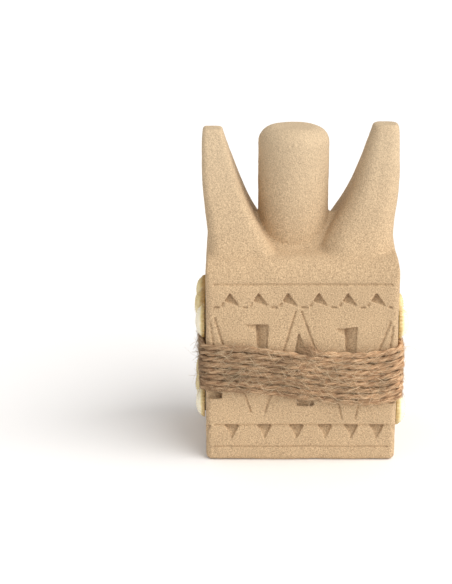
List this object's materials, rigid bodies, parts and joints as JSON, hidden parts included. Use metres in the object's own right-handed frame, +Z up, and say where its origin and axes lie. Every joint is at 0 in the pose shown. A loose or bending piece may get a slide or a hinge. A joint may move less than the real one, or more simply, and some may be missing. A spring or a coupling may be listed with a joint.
{
  "type": "tiki figure",
  "caption": "Carved sandstone block figure with two side horns and a rounded column head, chip-carved bands, a jute twine winding and cowrie shells on both sides.",
  "frame": {"origin": "middle of the flat base on the surface it stands on", "axes": "+Z up, +X to the figure's right as seen from the front, front face towards -Y"},
  "size_m": [0.0878, 0.065, 0.1355],
  "materials": {
    "stone": "fine-grained sand-coloured stone, dry and matt",
    "twine": "raw two-ply jute, hairy",
    "shell": "natural polished shell, cream to yellow",
    "glue": "hardened clear-amber adhesive"
  },
  "bodies": {
    "root": {"cowrie_left_lower_front": "shell", "cowrie_left_lower_middle": "shell", "cowrie_left_lower_rear": "shell", "cowrie_left_upper_front": "shell", "cowrie_left_upper_middle": "shell", "cowrie_left_upper_rear": "shell", "cowrie_right_lower_front": "shell", "cowrie_right_lower_middle": "shell", "cowrie_right_lower_rear": "shell", "cowrie_right_upper_front": "shell", "cowrie_right_upper_middle": "shell", "cowrie_right_upper_rear": "shell", "glue_left_lower_front": "glue", "glue_left_lower_middle": "glue", "glue_left_lower_rear": "glue", "glue_left_upper_front": "glue", "glue_left_upper_middle": "glue", "glue_left_upper_rear": "glue", "glue_right_lower_front": "glue", "glue_right_lower_middle": "glue", "glue_right_lower_rear": "glue", "glue_right_upper_front": "glue", "glue_right_upper_middle": "glue", "glue_right_upper_rear": "glue", "stone_body": "stone", "twine_winding": "twine"}
  },
  "joints": []
}
